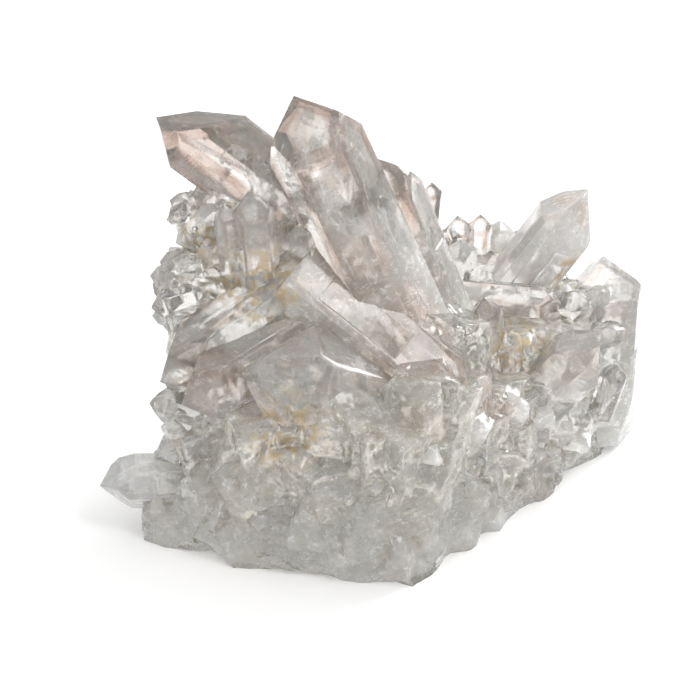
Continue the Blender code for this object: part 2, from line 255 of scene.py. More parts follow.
# How worn and how rough, in millimetres. edgeWear and chunkWear are bevels; rims, a share of a
# point's width, is the band along its edges, on faces rimRoom times as large. mostLost is the change in
# volume past which a piece stays sharp. The broken quartz is split down to longest, smoothed, and pushed
# about by swell, ridge and grain, each with a size, in full from stiff off a crystal and flatFade off
# the floor. Corners nearer than sliver are one. Up to scallopHeight, the foot runs in by up to scallop.
surface = dict(
    edgeWear=0.14, chunkWear=0.25, rims=0.12, rimRoom=1.4, mostLost=0.2, sharpAngle=30,
    longest=1.25, melting=1, meltStep=0.5, swell=2.2, swellSize=11, ridge=0.5, ridgeSize=3.4,
    grain=0.12, grainSize=1.5, stiff=3, flatFade=2, sliver=0.01, cleanRounds=6, splitRounds=8,
    scallop=5.5, scallopSize=12, scallopHeight=22, scallopEdge=2.5, scallopMiddle=(4, 8), scallopCore=10,
    scallopShift=(3, 1, 9), scallopMore=0.2,
)
driftShifts = ((9, -2, -8), (0, 0, 0), (6, 3, -5))


def cutAway(mesh, point, normal):  # drops what lies beyond a plane and caps the hole
    cut = bmesh.ops.bisect_plane(
        mesh, geom=mesh.verts[:] + mesh.edges[:] + mesh.faces[:], plane_co=point, plane_no=normal,
        dist=1e-7, clear_outer=True,
    )
    rim = [e for e in cut["geom_cut"] if isinstance(e, bmesh.types.BMEdge)]
    if rim:
        bmesh.ops.contextual_create(mesh, geom=rim)


def wear(mesh, edges, width):  # takes the sharpness off these edges
    bmesh.ops.bevel(
        mesh, geom=edges, offset=width * mm, offset_type="OFFSET", affect="EDGES", segments=1,
        profile=0.5, material=-1, clamp_overlap=True,
    )


def markRims(mesh, width):  # a band along the edges of every face, which fades towards its middle; the quartz material paints shade and a smoky brown on it
    rim = mesh.loops.layers.uv.new("rim")
    for face in mesh.faces[:]:
        for loop in face.loops:
            loop[rim].uv = (1, 0)
        middle = face.calc_center_median()
        reach = min(((e.verts[0].co + e.verts[1].co) / 2 - middle).length for e in face.edges)
        if reach > width * mm * surface["rimRoom"]:
            bmesh.ops.inset_individual(mesh, faces=[face], thickness=width * mm, use_even_offset=True)
            for loop in face.loops:
                loop[rim].uv = (0, 0)


def meshObject(name, mesh, collection):
    bmesh.ops.remove_doubles(mesh, verts=mesh.verts[:], dist=touching)
    bmesh.ops.recalc_face_normals(mesh, faces=mesh.faces[:])
    data = bpy.data.meshes.new(name)
    mesh.to_mesh(data)
    mesh.free()
    made = bpy.data.objects.new(name, data)
    collection.objects.link(made)
    return made


def newCollection(name):
    made = bpy.data.collections.new(name)
    bpy.context.scene.collection.children.link(made)
    return made


def crystalAxes(root, tip):  # its length, and the side that faces front
    axis = (Vector(tip) - Vector(root)).normalized()
    front = Vector((0, -1, 0)) if abs(axis.y) < 0.9 else Vector((0, 0, 1))  # up, if it lies towards us
    return axis, (front - axis * front.dot(axis)).normalized()


def sideNormals(axis, front, turn):  # out of each side, and out of the end face above it
    for side in range(6):
        around = Matrix.Rotation(math.radians(turn + 60 * side), 3, axis) @ front
        yield around, around * math.cos(endFaceAngle) + axis * math.sin(endFaceAngle)


def setbacks(width, given):
    return given or [width * share for share in usualSetback]


def quartzPoint(root, tip, width, turn=0, sides=evenSides, setback=None):  # one six-sided crystal
    setback = setbacks(width, setback)
    axis, front = crystalAxes(root, tip)
    root, tip = Vector(root) * mm, Vector(tip) * mm
    length = (tip - root).length
    mesh = bmesh.new()
    bmesh.ops.create_cube(mesh, size=roomy * length)
    bmesh.ops.translate(mesh, vec=root, verts=mesh.verts[:])
    cutAway(mesh, root, -axis)
    for side, (around, endFace) in enumerate(sideNormals(axis, front, turn)):
        cutAway(mesh, root + around * width / 2 * sides[side] * mm, around)
        cutAway(mesh, tip + axis * setback[side] * mm, endFace)
    return mesh, axis, tip


def lump(name, middle, size, cuts, turn=0, cutters=()):  # broken quartz: a box with flat breaks
    dice = random.Random(f"{seed} {name}")
    half = Vector(size) / 2 * mm
    mesh = bmesh.new()
    bmesh.ops.create_cube(mesh, size=2)
    bmesh.ops.scale(mesh, vec=half, verts=mesh.verts[:])
    for _ in range(cuts):
        away = anyWay(dice)
        reach = Vector([a * h for a, h in zip(away, half)]).length
        cutAway(mesh, away * reach * dice.uniform(*lumpReach), away)
    bmesh.ops.rotate(mesh, matrix=Matrix.Rotation(turn, 3, "Z"), verts=mesh.verts[:])
    bmesh.ops.translate(mesh, vec=Vector(middle) * mm, verts=mesh.verts[:])
    for start, end, lean in cutters:
        along = Vector((end[0] - start[0], end[1] - start[1], 0)).normalized()
        out = Vector((along.y, -along.x, math.tan(math.radians(lean)))).normalized()
        cutAway(mesh, Vector((*start, 0)) * mm, out)
    return mesh


class Ground:  # what the rays of a crowd meet first: bare base, or one of the named points
    def __init__(self, base, grown):
        corners, faces = [], []
        for mesh in base + grown:
            first = len(corners)
            mesh.verts.index_update()
            corners += [v.co.copy() for v in mesh.verts]
            faces += [[first + v.index for v in f.verts] for f in mesh.faces]
        self.tree = BVHTree.FromPolygons(corners, faces)
        self.bare = sum(len(mesh.faces) for mesh in base)

    def landing(self, dice, crowd):
        if "corners" in crowd:
            (left, front), (right, back) = crowd["corners"]
            start = Vector((dice.uniform(left, right), dice.uniform(front, back), farOff))
            direction = Vector((0, 0, -1))
        else:
            bearing = math.radians(dice.uniform(*crowd["bearings"]))
            direction = Vector((-math.sin(bearing), math.cos(bearing), 0))
            start = Vector((*crowd["middle"], dice.uniform(*crowd["heights"]))) - direction * farOff
        place, normal, face, _ = self.tree.ray_cast(start * mm, direction)
        return (place / mm, normal) if place and face < self.bare else None


def stray(dice, normal, fan):
    sideways = anyWay(dice)
    return (normal + sideways * math.tan(math.radians(fan)) * dice.random()).normalized()


def smallPoint(dice, landing, crowd):
    place, normal = landing
    axis = stray(dice, normal, crowd["fan"])
    across = dice.uniform(*crowd["width"])
    tip = place + axis * dice.uniform(*crowd["length"])
    setback = [across * share * dice.uniform(*unevenness) for share in usualSetback]
    turn = dice.uniform(0, 60)
    return dict(root=place - axis * across, tip=tip, width=across, turn=turn, setback=setback)


def chip(name, dice, landing, crowd, cutters):
    place, normal = landing
    size = [dice.uniform(*crowd["size"]) for _ in range(3)]
    middle = place - normal * min(size) * chipDepth
    return lump(name, middle, size, chipCuts, dice.uniform(0, math.pi), cutters)


def growthPlates(name, sizes):  # low steps on the flat sides, where the crystal grew in layers
    dice = random.Random(f"{seed} plates {name}")
    sides = sizes.get("sides", evenSides)
    setback = setbacks(sizes["width"], sizes.get("setback"))
    root, tip = Vector(sizes["root"]), Vector(sizes["tip"])
    axis = (tip - root).normalized()
    for _ in range(plates["count"]):
        side = dice.randrange(6)
        narrow = [share * dice.uniform(*plates["narrow"]) for share in sides]
        narrow[side] = sides[side] + dice.uniform(*plates["proud"]) / sizes["width"] * 2
        back = sizes["width"] * dice.uniform(*plates["back"])
        yield dict(
            root=tuple(root + axis * sizes["width"] * plates["rootGap"]), tip=tuple(tip - axis * back),
            width=sizes["width"], turn=sizes.get("turn", 0), sides=narrow,
            setback=[far * dice.uniform(*plates["setback"]) for far in setback],
        )


def tidy(mesh):
    bmesh.ops.remove_doubles(mesh, verts=mesh.verts[:], dist=touching)
    bmesh.ops.recalc_face_normals(mesh, faces=mesh.faces[:])


def closed(mesh):
    return all(e.is_manifold for e in mesh.edges)


def markGrain(mesh, axis, tip, kind):  # along the crystal from its tip, and around it, in millimetres
    mesh.normal_update()
    grain = mesh.loops.layers.uv.new("grain")
    trait = mesh.loops.layers.uv.new("trait")
    for face in mesh.faces:
        across = axis.cross(face.normal)
        across = across.normalized() if across.length > 0.01 else Vector((1, 0, 0))
        for loop in face.loops:
            away = (loop.vert.co - tip) / mm
            loop[grain].uv = (away.dot(across), -away.dot(axis))
            loop[trait].uv = kind


def finishShape(name, mesh, width, axis, tip, kind, collection, rims=0):
    tidy(mesh)
    plain = mesh.copy()
    edges = mesh.edges[:]
    if rims:
        markRims(mesh, rims)
    wear(mesh, edges, width)
    tidy(mesh)
    if closed(mesh) and abs(mesh.calc_volume() / plain.calc_volume() - 1) < surface["mostLost"]:
        plain.free()
    else:  # too small to be worn, so it stays sharp
        mesh.free()
        mesh = plain
    markGrain(mesh, axis, tip, kind)
    return meshObject(name, mesh, collection)


def growShapes(collection):
    cutters = [(w["start"], w["end"], w["lean"]) for w in walls.values()]
    overhangs = [(start, end, -chipOverhang) for start, end, _ in cutters]
    up, nowhere = Vector((0, 0, 1)), Vector((0, 0, 0))
    base = {
        name: lump(name, chunk["middle"], chunk["size"], chunkCuts, cutters=cutters)
        for name, chunk in chunks.items()
    }
    grown = {name: quartzPoint(**sizes) for name, sizes in points.items()}
    for mesh in list(base.values()) + [mesh for mesh, _, _ in grown.values()]:
        tidy(mesh)
    ground = Ground(list(base.values()), [mesh for mesh, _, _ in grown.values()])
    tints = random.Random(f"{seed} tints")
    for name, mesh in base.items():
        finishShape(name, mesh, surface["chunkWear"], up, nowhere, (rockKind, tints.random()), collection)
    for name, (mesh, axis, tip) in grown.items():
        kind = (namedKind, tipMilk.get(name, otherTipMilk))
        rims = points[name]["width"] * surface["rims"]
        finishShape(name, mesh, surface["edgeWear"], axis, tip, kind, collection, rims)
        if points[name]["width"] < plates["leastWidth"]:
            continue
        for plate, sizes in enumerate(growthPlates(name, points[name])):
            mesh, _, _ = quartzPoint(**sizes)
            finishShape(f"{name}_plate_{plate}", mesh, plates["wear"], axis, tip, kind, collection)
    report(f"{len(base)} broken masses and {len(grown)} named points")
    count = 0
    for name, crowd in {**crowds, **chips, **druzy}.items():
        dice = random.Random(f"{seed} {name}")
        for number in range(crowd["count"]):
            landing = ground.landing(dice, crowd)
            if not landing:
                continue
            count += 1
            title = f"{name}_{number}"
            if name in chips:
                mesh = chip(title, dice, landing, crowd, overhangs)
                kind = (rockKind, tints.random())
                finishShape(title, mesh, surface["chunkWear"], up, nowhere, kind, collection)
            else:
                mesh, axis, tip = quartzPoint(**smallPoint(dice, landing, crowd))
                kind = (smallKind, dice.uniform(*smallTipMilk))
                finishShape(title, mesh, surface["edgeWear"], axis, tip, kind, collection)
    report(f"{count} small points and chips")


def growTogether(first, others, sawn):  # one closed solid, sawn flat underneath
    union = first.modifiers.new("growTogether", "BOOLEAN")
    union.operation = "UNION"
    union.operand_type = "COLLECTION"
    union.collection = others
    union.solver = "MANIFOLD"
    cut = first.modifiers.new("sawFlat", "BOOLEAN")
    cut.operation = "DIFFERENCE"
    cut.object = sawn
    cut.solver = "MANIFOLD"
    bpy.context.view_layer.update()
    graph = bpy.context.evaluated_depsgraph_get()
    data = bpy.data.meshes.new_from_object(first.evaluated_get(graph))
    mesh = bmesh.new()
    mesh.from_mesh(data)
    bpy.data.meshes.remove(data)
    return mesh


def outerSkin(mesh):  # drops closed pockets inside the solid
    unseen = set(mesh.faces)
    skins = []
    while unseen:
        skin, front = set(), [unseen.pop()]
        while front:
            face = front.pop()
            skin.add(face)
            for edge in face.edges:
                linked = [other for other in edge.link_faces if other in unseen]
                unseen.difference_update(linked)
                front += linked
        skins.append(skin)
    outside = max(skins, key=len)
    bmesh.ops.delete(mesh, geom=[f for f in mesh.faces if f not in outside], context="FACES")


def dropSlivers(mesh):  # merges corners that all but touch, and edges that more than two faces share
    for _ in range(surface["cleanRounds"]):
        bmesh.ops.dissolve_degenerate(mesh, dist=surface["sliver"] * mm, edges=mesh.edges[:])
        bmesh.ops.triangulate(mesh, faces=[f for f in mesh.faces if len(f.verts) > 3])
        shared = [e for e in mesh.edges if len(e.link_faces) > 2]
        if not shared:
            break
        bmesh.ops.collapse(mesh, edges=shared)
    bmesh.ops.delete(mesh, geom=[e for e in mesh.edges if not e.link_faces], context="EDGES")


def refine(mesh, longest, chosen):  # shortens every chosen edge to so many millimetres
    for _ in range(surface["splitRounds"]):
        tooLong = [e for e in mesh.edges if e.calc_length() > longest * mm and chosen(e)]
        if not tooLong:
            break
        bmesh.ops.subdivide_edges(mesh, edges=tooLong, cuts=1, use_single_edge=True)
        bmesh.ops.triangulate(mesh, faces=[f for f in mesh.faces if len(f.verts) > 3])


def drift(place):  # a smooth push, which changes from place to place
    return Vector([noise.noise(place + Vector(shift)) for shift in driftShifts])


def roughBreak(mesh):  # turns the flat breaks into swelling, ridged and grainy ones
    trait = mesh.loops.layers.uv["trait"]
    rock = [v for v in mesh.verts if all(loop[trait].uv.x < rockLimit for loop in v.link_loops)]
    above = [v for v in rock if v.co.z > onFloor * mm]
    for _ in range(surface["melting"]):
        bmesh.ops.smooth_vert(
            mesh, verts=above, factor=surface["meltStep"], use_axis_x=True, use_axis_y=True, use_axis_z=True,
        )
    broken = set(rock)
    grown = [v for v in mesh.verts if v not in broken]
    stiff = KDTree(len(grown))
    for number, v in enumerate(grown):
        stiff.insert(v.co / mm, number)
    stiff.balance()
    for v in rock:
        place = v.co / mm
        give = min(1, stiff.find(place)[2] / surface["stiff"])  # none where it meets a crystal
        move = drift(place / surface["swellSize"]) * surface["swell"]
        move += drift(place / surface["ridgeSize"]) * surface["ridge"]
        move += drift(place / surface["grainSize"]) * surface["grain"]
        move.z *= min(1, place.z / surface["flatFade"])  # the underside stays flat
        v.co += move * give * mm


def scallopFoot(mesh):  # the broken foot runs in and out, less so higher up
    height = surface["scallopHeight"]
    refine(mesh, surface["scallopEdge"], lambda e: min(v.co.z for v in e.verts) < height * mm)
    for v in mesh.verts:
        place = v.co / mm
        low = max(0, 1 - place.z / height) ** 2
        waves = noise.noise(place / surface["scallopSize"] + Vector(surface["scallopShift"]))
        depth = max(0, waves + surface["scallopMore"])
        inwards = Vector((*surface["scallopMiddle"], place.z)) - place
        pull = inwards / (inwards.length + surface["scallopCore"])
        v.co += pull * depth * surface["scallop"] * low * mm


shapes = newCollection("shapesToJoin")
helpers = newCollection("helpers")
growShapes(shapes)
sawBlock = bmesh.new()
bmesh.ops.create_cube(sawBlock, size=2 * farOff * mm)
bmesh.ops.translate(sawBlock, vec=(0, 0, -farOff * mm), verts=sawBlock.verts[:])
sawn = meshObject("sawBlock", sawBlock, helpers)
first = shapes.objects["core"]
shapes.objects.unlink(first)
helpers.objects.link(first)
cluster = growTogether(first, shapes, sawn)
for helper in list(shapes.objects) + list(helpers.objects):
    bpy.data.objects.remove(helper)
for emptied in (shapes, helpers):
    bpy.data.collections.remove(emptied)
report(f"grown together, {len(cluster.faces)} faces")
bmesh.ops.dissolve_verts(cluster, verts=[v for v in cluster.verts if len(v.link_edges) == 2])
bmesh.ops.triangulate(cluster, faces=cluster.faces[:])
outerSkin(cluster)
dropSlivers(cluster)
trait = cluster.loops.layers.uv["trait"]
refine(cluster, surface["longest"], lambda e: any(loop[trait].uv.x < rockLimit for loop in e.link_loops))
dropSlivers(cluster)
roughBreak(cluster)
scallopFoot(cluster)
dropSlivers(cluster)
bmesh.ops.translate(cluster, vec=toFrame * mm, verts=cluster.verts[:])
for e in cluster.edges:
    e.smooth = e.calc_face_angle(0) < math.radians(surface["sharpAngle"])
for f in cluster.faces:
    f.smooth = True
volume = cluster.calc_volume() / mm ** 3 / 1000
report(f"{len(cluster.faces)} triangles, closed: {closed(cluster)}, {volume:.1f} cc")
clusterData = bpy.data.meshes.new("crystalCluster")
cluster.to_mesh(clusterData)
cluster.free()
crystalCluster = bpy.data.objects.new("crystalCluster", clusterData)
bpy.context.scene.collection.objects.link(crystalCluster)


# Fracture veils inside the larger crystals: how many, how far behind the tip (at most deepest of the
# length), how far to the side and how big as shares of the crystal's width, how thick, how far they
# keep from its sides and the floor, and how their edges are broken. The placed ones are white blocks
# and growth bands that show plainly: middle, size and how solid, leaning across and up by chance.
veils = dict(
    count=5, more=dict(right_point=9, far_right_point=11, low_right_point=9, foot_point=9, main_point=8),
    back=(7, 46), deepest=0.8, sideways=0.13, size=(0.3, 0.8), longer=1.6, thick=0.08, clearance=0.7,
    lowest=6, leastWidth=9, breaks=4, breakReach=(0.3, 0.48), leanAcross=(-0.3, 0.3), leanUp=(0.1, 0.6),
)
placedVeils = {
    "left_point": [
        dict(middle=(-29.5, 8.5, 83.5), size=(4, 3.2), solid=0.75),
        dict(middle=(-25, 9, 79.5), size=(3.6, 4), solid=0.6),
        dict(middle=(-37, 7, 87), size=(5, 1), solid=0.5),
        dict(middle=(-27, 6, 74), size=(6, 1.6), solid=0.35),
    ],
    "main_point": [
        dict(middle=(-17.6 + 1.1 * band, -3.5, 85.5 - 2 * band), size=(4.4 - 0.4 * band, 0.9), solid=0.7)
        for band in range(5)
    ] + [
        dict(middle=(-3.4, -4, 86.5), size=(2.6, 2.2), solid=0.8),
        dict(middle=(-9, -3, 78), size=(7, 5), solid=0.3),
        dict(middle=(-1, -4, 72), size=(8, 6), solid=0.35),
        dict(middle=(-8, -5, 68), size=(3, 9), solid=0.3),
    ],
    "right_point": [
        dict(middle=(43, 31, 55), size=(8, 6), solid=0.9), dict(middle=(39, 31, 48), size=(5, 9), solid=0.9),
        dict(middle=(46, 31, 50), size=(5, 8), solid=0.8),
    ],
    "far_right_point": [
        dict(middle=(52, 28, 36), size=(8, 7), solid=0.8), dict(middle=(55, 28, 26), size=(7, 9), solid=0.7),
        dict(middle=(57, 28, 14), size=(6, 6), solid=0.4),
    ],
    "low_right_point": [
        dict(middle=(44, 8, 28), size=(7, 4), solid=0.6), dict(middle=(38, 10, 23), size=(6, 4), solid=0.6),
    ],
    "foot_point": [
        dict(middle=(-50, -9, 12), size=(8, 3), solid=0.8),
        dict(middle=(-42, -9, 10), size=(6, 4), solid=0.5),
    ],
}


def sheet(dice, middle, size, facing):  # a thin, closed, broken-edged sheet
    mesh = bmesh.new()
    bmesh.ops.create_cube(mesh, size=1)
    bmesh.ops.scale(mesh, vec=(size[0] * mm, size[1] * mm, veils["thick"] * mm), verts=mesh.verts[:])
    bmesh.ops.rotate(mesh, matrix=facing.to_track_quat("Z", "Y").to_matrix(), verts=mesh.verts[:])
    middle = Vector(middle) * mm
    bmesh.ops.translate(mesh, vec=middle, verts=mesh.verts[:])
    for _ in range(veils["breaks"]):
        away = anyWay(dice)
        cutAway(mesh, middle + away * min(size) * dice.uniform(*veils["breakReach"]) * mm, away)
    return mesh


def keepInside(mesh, root, tip, width, turn=0, sides=evenSides, setback=None):  # of this crystal
    setback = setbacks(width, setback)
    axis, front = crystalAxes(root, tip)
    root, tip = Vector(root) * mm, Vector(tip) * mm
    cutAway(mesh, Vector((0, 0, veils["lowest"] * mm)), Vector((0, 0, -1)))
    for side, (around, endFace) in enumerate(sideNormals(axis, front, turn)):
        cutAway(mesh, root + around * (width / 2 * sides[side] - veils["clearance"]) * mm, around)
        cutAway(mesh, tip + axis * (setback[side] - veils["clearance"] * 2) * mm, endFace)
    tidy(mesh)


def randomVeil(dice, sizes):
    root, tip, width = Vector(sizes["root"]), Vector(sizes["tip"]), sizes["width"]
    back = min(dice.uniform(*veils["back"]), (tip - root).length * veils["deepest"])
    sideways = Vector([dice.gauss(0, 1) for _ in range(3)]) * width * veils["sideways"]
    size = [width * dice.uniform(*veils["size"]) * longer for longer in (1, veils["longer"])]
    facing = anyWay(dice)
    return sheet(dice, tip - (tip - root).normalized() * back + sideways, size, facing)


inner = bmesh.new()
solidity = inner.loops.layers.uv.new("solid")
for name, sizes in points.items():
    if sizes["width"] < veils["leastWidth"]:
        continue
    dice = random.Random(f"{seed} veils {name}")
    wanted = [(randomVeil(dice, sizes), 0) for _ in range(veils["more"].get(name, veils["count"]))]
    for placed in placedVeils.get(name, ()):
        facing = Vector((dice.uniform(*veils["leanAcross"]), -1, dice.uniform(*veils["leanUp"])))
        wanted.append((sheet(dice, placed["middle"], placed["size"], facing), placed["solid"]))
    for mesh, solid in wanted:
        keepInside(mesh, **sizes)
        if mesh.faces and closed(mesh):
            before = len(inner.faces)
            made = bpy.data.meshes.new("sheet")
            mesh.to_mesh(made)
            inner.from_mesh(made)
            bpy.data.meshes.remove(made)
            inner.faces.ensure_lookup_table()
            for face in inner.faces[before:]:
                for loop in face.loops:
                    loop[solidity].uv = (solid, 0)
        mesh.free()
bmesh.ops.triangulate(inner, faces=inner.faces[:])
scallopFoot(inner)
bmesh.ops.translate(inner, vec=toFrame * mm, verts=inner.verts[:])
bmesh.ops.recalc_face_normals(inner, faces=inner.faces[:])
veilData = bpy.data.meshes.new("fractureVeils")
inner.to_mesh(veilData)
report(f"{len(inner.faces)} faces of fracture veils")
inner.free()
fractureVeils = bpy.data.objects.new("fractureVeils", veilData)
bpy.context.scene.collection.objects.link(fractureVeils)


class Wire:  # a socket's value, so that shader maths reads as plain expressions
    def __init__(self, shader, socket):
        self.shader = shader
        self.socket = socket

    def part(self, output):  # another output of the same node
        return Wire(self.shader, self.socket.node.outputs[output])

    def math(self, operation, *values, clamp=False):
        settings = dict(operation=operation, use_clamp=clamp)
        return self.shader.node("ShaderNodeMath", settings, dict(enumerate(values)))

    def __add__(self, other):
        return self.math("ADD", self, other)

    def __radd__(self, other):
        return self.math("ADD", other, self)

    def __rsub__(self, other):
        return self.math("SUBTRACT", other, self)

    def __mul__(self, other):
        return self.math("MULTIPLY", self, other)

    def __rmul__(self, other):
        return self.math("MULTIPLY", other, self)

    def __pow__(self, other):
        return self.math("POWER", self, other)

    def clamped(self):
        return self.math("ADD", self, 0, clamp=True)

    def ramp(self, low, high, start=0, end=1):  # a smooth step from start to end
        return self.shader.node(
            "ShaderNodeMapRange", dict(interpolation_type="SMOOTHSTEP"),
            {"Value": self, "From Min": low, "From Max": high, "To Min": start, "To Max": end},
        )


class Shader:
    def __init__(self, tree):
        self.tree = tree
        tree.nodes.clear()

    def node(self, kind, settings=None, values=None, output=0):
        made = self.tree.nodes.new(kind)
        for key, value in (settings or {}).items():
            setattr(made, key, value)
        for key, value in (values or {}).items():
            if isinstance(value, Wire):
                self.tree.links.new(value.socket, made.inputs[key])
            else:
                made.inputs[key].default_value = value
        return Wire(self, made.outputs[output]) if made.outputs else None

    def vector(self, operation, *values, output="Vector"):
        return self.node("ShaderNodeVectorMath", dict(operation=operation), dict(enumerate(values)), output)

    def place(self):  # Object coordinates, in millimetres
        coords = self.node("ShaderNodeTexCoord", None, None, "Object")
        return self.node("ShaderNodeVectorMath", dict(operation="SCALE"), {0: coords, "Scale": 1 / mm})

    def uv(self, name):
        return self.node("ShaderNodeUVMap", dict(uv_map=name))

    def axis(self, vector, letter):
        return self.node("ShaderNodeSeparateXYZ", None, {0: vector}, letter)

    def noise(self, place, scale, detail, roughness=0.55, distortion=0):
        return self.node("ShaderNodeTexNoise", None, {
            "Vector": place, "Scale": scale, "Detail": detail, "Roughness": roughness,
            "Distortion": distortion,
        })

    def stretched(self, place, scale, turn=(0, 0, 0)):
        turned = self.node("ShaderNodeMapping", None, {"Vector": place, "Rotation": turn})
        return self.node("ShaderNodeMapping", None, {"Vector": turned, "Scale": scale})

    def facets(self, place, scale):  # height of small flat breaks, each with its own tilt and chance
        cell = self.node(
            "ShaderNodeTexVoronoi", dict(voronoi_dimensions="2D"), {"Vector": place, "Scale": scale}, "Color",
        )
        tilt = self.vector("MULTIPLY_ADD", cell, (1, 1, 0), (-0.5, -0.5, 0))
        away = self.vector("SUBTRACT", place, cell.part("Position"))
        height = self.vector("DOT_PRODUCT", tilt, away, output="Value")
        return height * scale, self.axis(cell, "X")

    def nearest(self, place, spots, core):  # 1 at the core of a spot, 0 outside them all
        near = None
        for *middle, reach in spots:
            away = self.vector("DISTANCE", place, middle, output="Value")
            here = away.ramp(reach * core, reach, 1, 0)
            near = here if near is None else here.math("MAXIMUM", near, here)
        return near

    def colour(self, factor, first, second):
        first, second = [end if isinstance(end, Wire) else (*end, 1) for end in (first, second)]
        return self.node("ShaderNodeMix", dict(data_type="RGBA"), {0: factor, 6: first, 7: second}, 2)


def newMaterial(name):
    made = bpy.data.materials.new(name)
    made.use_nodes = True
    return made, Shader(made.node_tree)


# How the quartz looks. Patterns are how many to a millimetre, how many finer layers and how rough those
# are; shapes stretch one, and turns turn it. An edge gives the values between which a thing sets in.
# Spots are a middle and a reach, and a core is a share of the reach. clearTo and milkyFrom are how far
# behind its tip a crystal is clear and milky.
look = dict(
    patterns=dict(
        clouds=(0.09, 2), wisps=(0.35, 4, 0.68), fine=(1.6, 2), frost=(0.5, 5, 0.82), patches=(0.12, 2),
        spots=(0.42, 3, 0.65), streaks=(1, 2, 0.75), needles=(1, 2, 0.6), lines=(1, 2, 0.7),
    ),
    flatScale=0.6, flatShape=(1, 1.5, 1), flatTurn=(0.7, 0.5, 0), streakShape=(0.3, 0.3, 2.4),
    streakWays=(((0.7, 0.4, 0), (0.5, 0.58)), ((-0.9, 0.5, 1), (0.5, 0.42))),  # turn, edge of patches
    needleShape=(1.1, 0.09, 1), lineShape=(0.1, 1.8, 1),
    pointEdge=(0.2, 0.5), frostEdge=(0.5, 0.66), streakEdge=(0.56, 0.7), needleEdge=(0.58, 0.68),
    needlePatches=(0.42, 0.55), rockEdge=(0.35, 0.8), wispEdge=(0.3, 0.42), warmEdge=(0.4, 0.62),
    frost=(0.35, 0.5), streaks=0.4,  # least frost, and how much it varies
    clearTo=16, milkyFrom=52, wander=30, rock=(0.12, 0.42),
    rockWisps=0.6, rockClouds=0.4, rockOwn=0.15, ownMilk=0.9, rootMilk=0.35, wispMilk=0.25, needleMilk=0.12,
    rockFlakes=0.35, rootFlakes=0.4, ownFlakes=0.5, stainMilk=0.4,
    cool=(0.62, 0.63, 0.575), warm=(0.66, 0.62, 0.55), bright=(0.78, 0.78, 0.78), white=(0.92, 0.92, 0.92),
    brightness=0.6, tipWhite=0.8, tipKind=(0.7, 0.9), tipOwn=(0.25, 0.4), needleWhite=0.4,
    # the smoke colour is partly the quartz's own smoky tint and partly painted shade along the crystals'
    # edges
    clear=(0.96, 0.955, 0.95), smokeAndEdgeShade=(0.54, 0.40, 0.34), smokeAndShadeCurve=1.2, smokeAndShadeEdge=(0.35, 0.6),
    smokeAndShadeLevels=(0.35, 1), smokeAndShadeHeight=(20, 36),
    stain=(0.5, 0.36, 0.16), stainCore=0.45, stainEdge=(0.45, 0.6), stainOnMilk=0.75, stainInClear=0.8,
    stainSpots=((-26, -13, 58, 15), (-37, -6, 64, 9), (30, 4, 35, 12), (-20, -40, 35, 12), (44.5, 23, 45, 7)),
    tan=(0.52, 0.41, 0.35), tanCore=0.4, tanEdge=(0.35, 0.6), tanLevels=(0.4, 0.9), tanInClear=0.8,
    tanSpots=(
        (-44, -4, 88, 11), (-6, -18, 62, 12), (9, -22, 49, 17), (24.5, -18, 32, 9), (-36, -31, 45, 10),
        (44, 26, 58, 7),
    ),
    tint=(0.80, 0.77, 0.71), tintDensity=22, index=1.544,
    lines=0.45, flats=2.2, bump=0.4, bumpHeight=0.25,
    shineEdge=(0.3, 0.8), clearShine=(0, 0.06), milkyShine=(0.1, 0.3), rockShine=0.03, rootShine=0.05,
    scatter=(1, 0.95, 0.85), scatterSize=12,
)


